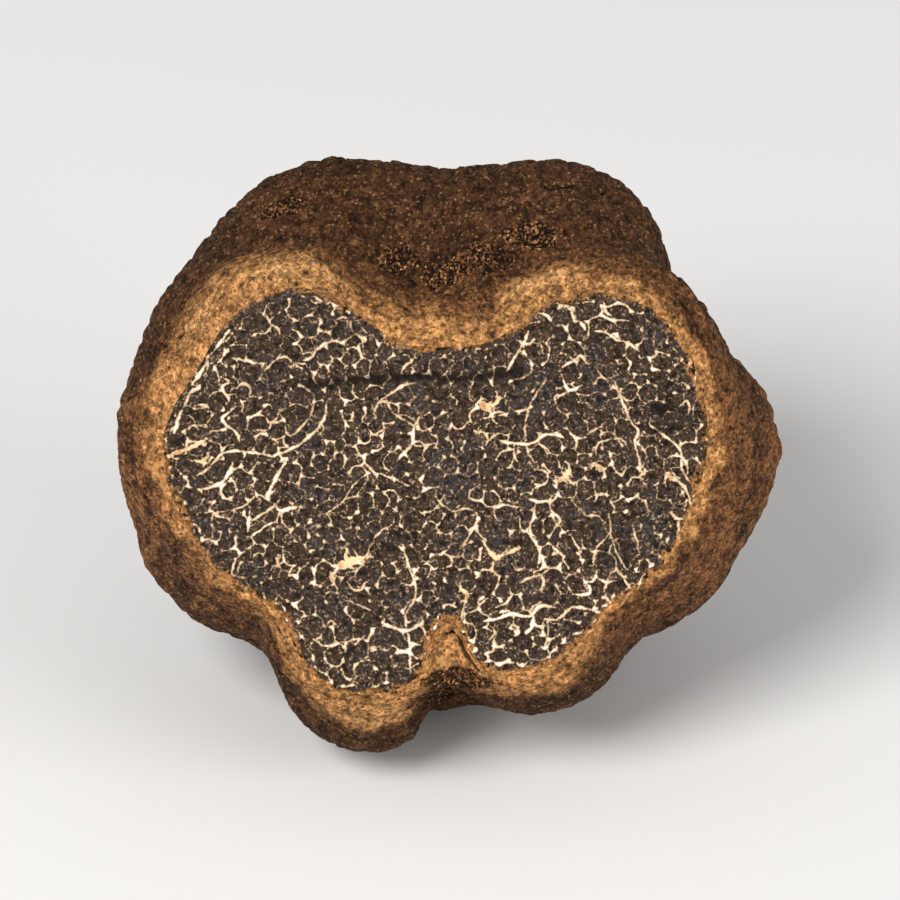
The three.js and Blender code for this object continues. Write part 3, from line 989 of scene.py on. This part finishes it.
class Strokes:
    """Lines drawn on the cut face as strings of dots, each dot with its own half-width."""

    def __init__(self):
        self.dots = []
        self.widths = []

    def draw(self, path, widths):
        self.dots.append(path)
        self.widths.append(widths)

    def draw_vein(self, corners, half_width, draw, waver):
        """A vein that wavers, swells and thins, and tapers at both ends."""
        path = smooth_path(corners)
        path = path + swirl(flat(path), 0.55)[:, :2] * waver
        share = np.linspace(0, 1, len(path))
        body = np.clip(np.minimum(share, 1 - share) * len(path) * STROKE_STEP / 0.6, 0, 1)
        waves = np.sin(share * len(path) * STROKE_STEP * draw.uniform(2, 4) + draw.uniform(0, 6.3))
        self.draw(path, half_width * mix(TIP_SHARE, 1, body) * (1 + 0.28 * waves))

    def depth(self, points, nearest=3):
        """How far inside a stroke each point is, negative outside."""
        dots, widths = np.concatenate(self.dots), np.concatenate(self.widths)
        tree = tree_of(flat(dots))
        found = [tree.find_n(p, nearest) for p in flat(points).tolist()]
        index = np.array([[hit[1] for hit in hits] for hits in found])
        away = np.array([[hit[2] for hit in hits] for hits in found])
        return (widths[index] - away).max(axis=1)


def placed_strokes(table, seed, share=1.0, waver=0.09):
    strokes = Strokes()
    draw = np.random.default_rng(seed)
    for half_width, *corners in table:
        strokes.draw_vein(corners, half_width * share, draw, waver)
    return strokes


def draw_arm(strokes, start, toward, half_width, draw):
    """A bowed arm that starts from a knot and thins on its way."""
    bow = np.array((-toward[1], toward[0])) * draw.uniform(-0.32, 0.32)
    path = smooth_path((start, start + toward / 2 + bow, start + toward))
    path = path + swirl(flat(path), 0.9, offset=5.0)[:, :2] * 0.16
    share = np.linspace(0, 1, len(path))
    knot = np.exp(-((share * np.linalg.norm(toward) / (1.6 * half_width)) ** 2))
    strokes.draw(path, half_width * (0.3 + 0.5 * (1 - share) ** 1.4 + 0.4 * knot))


def junctions_and_links(middles):
    """The corners of the cells round the middles, and the pairs of corners that are joined."""
    corners = [Vector(p) for p in middles.tolist()]
    _, _, triangles, *_ = geometry.delaunay_2d_cdt(corners, [], [], 0, 1e-6)
    junctions = np.array([middles[list(t)].mean(axis=0) for t in triangles])
    beside = {}
    for index, (a, b, c) in enumerate(triangles):
        for pair in ((a, b), (b, c), (c, a)):
            beside.setdefault(frozenset(pair), []).append(index)
    links = [tuple(pair) for pair in beside.values() if len(pair) == 2]
    return junctions, links


def grow_network(strokes, middles, half_width, seed):
    """Veins between the cells round the middles. Some links are whole, some break off at
    either end, and some are missing."""
    draw = np.random.default_rng(seed)
    junctions, links = junctions_and_links(middles)
    sizes = half_width * draw.lognormal(0, 0.42, len(junctions))
    sizes = sizes * (1 + 0.4 * clouds(flat(junctions), 5.0, 2, offset=23.0))
    sizes = np.minimum(sizes, half_width * WIDEST_KNOT)
    sizes = sizes * mix(1, TOE_SHARE, smooth_step(-junctions[:, 1], 4.0, 12.0))
    for pair in links:
        start, end = junctions[list(pair)]
        if np.linalg.norm(end - start) > LONGEST_LINK:
            continue
        chance = draw.uniform()
        if chance < WHOLE_LINKS:
            draw_link(strokes, start, end, sizes[pair[0]], sizes[pair[1]], draw)
        elif chance < WHOLE_LINKS + BROKEN_LINKS:
            for here, there, size in ((start, end, sizes[pair[0]]), (end, start, sizes[pair[1]])):
                draw_arm(strokes, here, (there - here) * draw.uniform(0.2, 0.5), size, draw)


def draw_link(strokes, start, end, first, last, draw):
    """A bowed vein from one knot to another, thinner between them."""
    along_it = end - start
    bow = np.array((-along_it[1], along_it[0])) * draw.uniform(-0.22, 0.22)
    path = smooth_path((start, (start + end) / 2 + bow, end))
    path = path + swirl(flat(path), 0.9, offset=5.0)[:, :2] * 0.16
    share = np.linspace(0, 1, len(path))
    length = np.linalg.norm(along_it)
    knots = first * np.exp(-((share * length / (1.6 * first)) ** 2))
    knots = knots + last * np.exp(-(((1 - share) * length / (1.6 * last)) ** 2))
    strokes.draw(path, mix(first, last, share) * draw.uniform(0.2, 0.7) + 0.4 * knots)


def sprout(strokes, table, share, seed):
    """Twigs in all directions from a share of the points of a table's strokes."""
    draw = np.random.default_rng(seed)
    for half_width, *corners in table:
        for corner in corners:
            angle, reach = draw.uniform(0, 2 * math.pi), draw.uniform(*TWIG_LENGTHS)
            toward = np.array((math.cos(angle), math.sin(angle))) * reach
            if draw.uniform() < share:
                draw_arm(strokes, np.array(corner), toward, half_width * VEIN_SHARE * 0.6, draw)


def scatter_crumbs(strokes, ground, count, seed):
    """Short dashes at random, that lean the same way as those round them."""
    draw = np.random.default_rng(seed)
    middles = in_order(ground)[draw.integers(0, len(ground), count)]
    lean = clouds(flat(middles), 6.0, 2, offset=13.0) * 5 + draw.normal(0, 0.7, count)
    length = draw.lognormal(math.log(0.2), 0.5, count)
    width = draw.uniform(0.025, 0.065, count)
    for middle, angle, reach, half_width in zip(middles, lean, length, width):
        ahead = np.array((math.cos(angle), math.sin(angle))) * reach / 2
        bow = np.array((-ahead[1], ahead[0])) * draw.uniform(-0.5, 0.5)
        path = smooth_path((middle - ahead, middle + bow, middle + ahead))
        strokes.draw(path, np.full(len(path), half_width))


def marbling(points, settings):
    """How deep each point of the face lies in a vein, a warm knot, a crumb and a crease."""
    table = LEFT_VEINS + BROW_VEINS + MIDDLE_VEINS + RIGHT_VEINS + TOE_VEINS
    placed = placed_strokes(table, seed=21, share=VEIN_SHARE)
    warm = placed_strokes(WARM_KNOTS, seed=22, share=WARM_SHARE)
    creases = placed_strokes(CREASES, seed=23, waver=0.3).depth(points, 1)
    taken = np.maximum(np.maximum(placed.depth(points, 1), warm.depth(points, 1)), creases)

    grown = Strokes()
    free = points[taken < -CELL_GAP]
    middles = spread_out(flat(free), settings.cell_pitch / MM, seed=24)[:, :2]
    middles = middles[np.random.default_rng(KEPT_SEED).uniform(size=len(middles)) < KEPT_CELLS]
    grow_network(grown, middles, settings.knot / MM, seed=25)
    sprout(grown, table, share=0.45, seed=28)
    sprout(grown, WARM_KNOTS * 3, share=1.0, seed=27)
    crumbs = Strokes()
    scatter_crumbs(crumbs, points[taken < -CRUMB_GAP], settings.crumbs, seed=26)
    warm_depth = warm.depth(points)
    veins = np.maximum(np.maximum(placed.depth(points), grown.depth(points)), warm_depth)
    return veins, warm_depth, crumbs.depth(points), creases


def cut_face_mesh(skin, settings):
    loop = rim_loop(skin)
    spacing = settings.grid / MM
    points, triangles = face_grid(loop, spacing)
    from_rim = distance_to(flat(points), tree_of(flat(along(loop, spacing / 3))))
    veins, warm, crumbs, creases = marbling(points, settings)

    height = VEIN_HEIGHT * smooth_step(veins, -0.05, 0.08) + FLESH_RELIEF * clouds(flat(points), 0.7, 3)
    ragged = creases + 0.12 * clouds(flat(points), 0.9, 2)
    height = height - CREASE_DEPTH * smooth_step(ragged, -0.15, 0.3)
    height *= smooth_step(from_rim, 0.0, 0.3)
    top = np.stack([points[:, 0], -height, points[:, 1]], axis=1)

    mesh = bpy.data.meshes.new("truffle_cut_face")
    mesh.from_pydata(top.tolist(), [], [tuple(t) for t in triangles])
    write_field(mesh, "vein", veins)
    write_field(mesh, "warm", warm)
    write_field(mesh, "crumb", crumbs)
    write_field(mesh, "crease", creases)
    bare = np.exp(-((np.linalg.norm(points - BARE_EDGE, axis=1) / BARE_REACH) ** 2))
    write_field(mesh, "from_rim", from_rim + bare)
    close_behind(mesh, *FACE_SLAB)
    write_points(mesh, to_floor(read_points(mesh)))
    return mesh


def flesh_paint(settings):
    paint = Paint("truffle_flesh")
    flesh = tuple(settings.flesh)
    mottle = paint.noise(0.55, 4, 0.7)
    blotch = paint.noise(3.0, 3, 0.55)
    speck = paint.noise(0.26, 2, 0.6)
    ragged = paint.times(paint.sum(speck, -0.5), 0.22)

    ground = paint.blend(flesh, tuple(settings.flesh_brown), paint.band(blotch, 0.46, 0.6))
    ground = paint.blend(ground, tuple(settings.flesh_grey), paint.band(blotch, 0.46, 0.36))
    ground = paint.blend(ground, tuple(settings.flesh_dark), paint.times(paint.band(mottle, 0.52, 0.38), 0.8))
    flecks = paint.times(paint.band(speck, 0.5, 0.68), paint.band(mottle, 0.4, 0.56))
    ground = paint.blend(ground, tuple(settings.crumb), paint.times(flecks, 0.42))

    crumb = paint.band(paint.sum(paint.field("crumb"), ragged), -0.03, 0.035)
    dull = paint.times(crumb, paint.band(mottle, 0.34, 0.56, 0.4, 1.0))
    ground = paint.blend(ground, tuple(settings.crumb), dull)
    depth = paint.sum(paint.field("vein"), ragged)
    ripe = paint.sum(depth, paint.times(paint.sum(blotch, -0.5), 0.25))
    pale = paint.blend(tuple(settings.thread), tuple(settings.tan), paint.band(ripe, -0.04, 0.05))
    pale = paint.blend(pale, tuple(settings.vein), paint.band(ripe, 0.04, 0.14))
    warmth = paint.sum(paint.field("warm"), paint.times(ragged, 3.0))
    warm = paint.blend(tuple(settings.yellow), tuple(settings.peach), paint.band(blotch, 0.44, 0.56))
    pale = paint.blend(pale, warm, paint.band(warmth, -0.03, 0.14))
    ground = paint.blend(ground, pale, paint.band(depth, -0.06, 0.03))
    # Painted shade: the creases darkened.
    crease = paint.band(paint.sum(paint.field("crease"), paint.times(ragged, 4.0)), -0.15, 0.3)
    ground = paint.blend(ground, tuple(settings.flesh_dark), paint.times(crease, 0.8))
    fray = paint.sum(paint.times(paint.noise(1.8, 3, 0.6), 2.6), mottle)
    edge = paint.band(paint.sum(paint.field("from_rim"), fray), 2.35, 2.05)
    sand = paint.grains(0.26)
    rind = paint.blend(tuple(settings.rind), tuple(settings.flesh_dark), paint.band(mottle, 0.5, 0.38))
    rind = paint.blend(rind, tuple(settings.tan), paint.times(paint.band(sand, 0.8, 0.95), 0.5))
    rind = paint.blend(rind, paint.band(sand, 0.1, 0.9, 0.5, 1.45), 1.0, "MULTIPLY")
    ground = paint.blend(ground, rind, paint.times(edge, paint.band(depth, 0.1, 0.05)))
    paint.put(paint.shader.inputs["Base Color"], ground)
    paint.put(paint.shader.inputs["Roughness"], paint.band(mottle, 0.3, 0.7, 0.65, 0.5))
    paint.shader.inputs["Specular IOR Level"].default_value = 0.08
    relief = paint.bump(mottle, 0.1)
    paint.put(paint.shader.inputs["Normal"], paint.bump(depth, 0.25, relief))
    return paint.material


class TRUFFLE_OT_cut_face(bpy.types.Operator):
    """Fill the cut with dark flesh and its pale veins"""

    bl_idname = "truffle.cut_face"
    bl_label = "Cut face"

    def execute(self, context):
        settings = context.scene.truffle_flesh
        mesh = cut_face_mesh(bpy.data.objects["truffle_skin"], settings)
        piece = show(mesh, "truffle_cut_face", flesh_paint(settings))
        return {"FINISHED"}


# ---- The stage ----


class TruffleStage(bpy.types.PropertyGroup):
    elevation: FloatProperty(
        name="Elevation",
        description="How far the camera looks down",
        default=math.radians(33),
        unit="ROTATION",
    )
    distance: FloatProperty(
        name="Distance", description="From the camera to the truffle", default=1.0, unit="LENGTH"
    )
    frame_width: FloatProperty(
        name="Frame", description="What the frame takes in, side to side", default=0.082, unit="LENGTH"
    )
    key_power: FloatProperty(
        name="Key light",
        description="Power of the main softbox",
        default=9.5,
        unit="POWER",
    )
    fill_power: FloatProperty(
        name="Fill light",
        description="Power of the second softbox",
        default=3.5,
        unit="POWER",
    )
    floor: FloatVectorProperty(
        name="Floor", description="The floor's colour", default=(0.82, 0.81, 0.79), subtype="COLOR"
    )


SENSOR = 36.0
FLOOR_SIZE = 4.0
CLIP_START = 0.01
ROOM_LIGHT = 0.38  # the even light from all round
KEY_PLACE = (-0.45, -0.6, 0.75)
KEY_SIZE = 0.5
FILL_PLACE = (0.7, -0.45, 0.35)
FILL_SIZE = 0.6


def softbox(name, place, target, size, power):
    light = bpy.data.lights.new(name, "AREA")
    light.shape = "DISK"
    light.size = size
    light.energy = power
    lamp = bpy.data.objects.new(name, light)
    lamp.location = place
    lamp.rotation_euler = (Vector(target) - Vector(place)).to_track_quat("-Z", "Y").to_euler()
    bpy.context.scene.collection.objects.link(lamp)


def floor(settings):
    sheet = bmesh.new()
    bmesh.ops.create_grid(sheet, x_segments=1, y_segments=1, size=FLOOR_SIZE / 2)
    mesh = bpy.data.meshes.new("floor")
    sheet.to_mesh(mesh)
    sheet.free()
    paint = Paint("floor")
    paint.put(paint.shader.inputs["Base Color"], tuple(settings.floor))
    paint.shader.inputs["Roughness"].default_value = 0.9
    paint.shader.inputs["Specular IOR Level"].default_value = 0.1
    mesh.materials.append(paint.material)
    ground = bpy.data.objects.new("floor", mesh)
    bpy.context.scene.collection.objects.link(ground)


def camera(settings):
    target = (CAD_LOW + CAD_HIGH) / 2
    back = Vector((0, -math.cos(settings.elevation), math.sin(settings.elevation)))
    lens = bpy.data.cameras.new("camera")
    lens.sensor_width = SENSOR
    lens.lens = SENSOR * settings.distance / settings.frame_width
    lens.clip_start = CLIP_START
    eye = bpy.data.objects.new("camera", lens)
    eye.location = target + back * settings.distance
    eye.rotation_euler = (-back).to_track_quat("-Z", "Y").to_euler()
    bpy.context.scene.collection.objects.link(eye)
    bpy.context.scene.camera = eye


class TRUFFLE_OT_stage(bpy.types.Operator):
    """Lay the pale floor, and set the soft lights and the camera"""

    bl_idname = "truffle.stage"
    bl_label = "Stage"

    def execute(self, context):
        settings = context.scene.truffle_stage
        floor(settings)
        camera(settings)
        middle = (CAD_LOW + CAD_HIGH) / 2
        softbox("key", KEY_PLACE, middle, KEY_SIZE, settings.key_power)
        softbox("fill", FILL_PLACE, middle, FILL_SIZE, settings.fill_power)
        world = bpy.data.worlds.new("studio")
        world.use_nodes = True
        background = world.node_tree.nodes["Background"]
        background.inputs["Color"].default_value = (1, 1, 1, 1)
        background.inputs["Strength"].default_value = ROOM_LIGHT
        context.scene.world = world
        context.scene.view_settings.view_transform = "Standard"
        return {"FINISHED"}


# ---- The add-on ----


class TRUFFLE_PT_panel(bpy.types.Panel):
    """The truffle's pieces and their sizes"""

    bl_idname = "TRUFFLE_PT_panel"
    bl_label = "Cut Black Truffle"
    bl_space_type = "VIEW_3D"
    bl_region_type = "UI"
    bl_category = "Truffle"

    def draw(self, context):
        for operator, group in STEPS:
            box = self.layout.box()
            box.operator(operator.bl_idname)
            settings = getattr(context.scene, group)
            for name in settings.bl_rna.properties.keys():
                if name not in ("rna_type", "name"):
                    box.prop(settings, name)


GROUPS = {"truffle_skin": TruffleSkin, "truffle_flesh": TruffleFlesh, "truffle_stage": TruffleStage}
STEPS = (
    (TRUFFLE_OT_stage, "truffle_stage"),
    (TRUFFLE_OT_skin, "truffle_skin"),
    (TRUFFLE_OT_cut_face, "truffle_flesh"),
)
CLASSES = (*GROUPS.values(), TRUFFLE_OT_stage, TRUFFLE_OT_skin, TRUFFLE_OT_cut_face, TRUFFLE_PT_panel)


def register():
    for kind in CLASSES:
        bpy.utils.register_class(kind)
    for name, kind in GROUPS.items():
        setattr(bpy.types.Scene, name, PointerProperty(type=kind))


def unregister():
    for name in GROUPS:
        delattr(bpy.types.Scene, name)
    for kind in reversed(CLASSES):
        bpy.utils.unregister_class(kind)


def main():
    register()
    bpy.ops.truffle.stage()
    bpy.ops.truffle.skin()
    bpy.ops.truffle.cut_face()


if __name__ == "__main__":
    main()
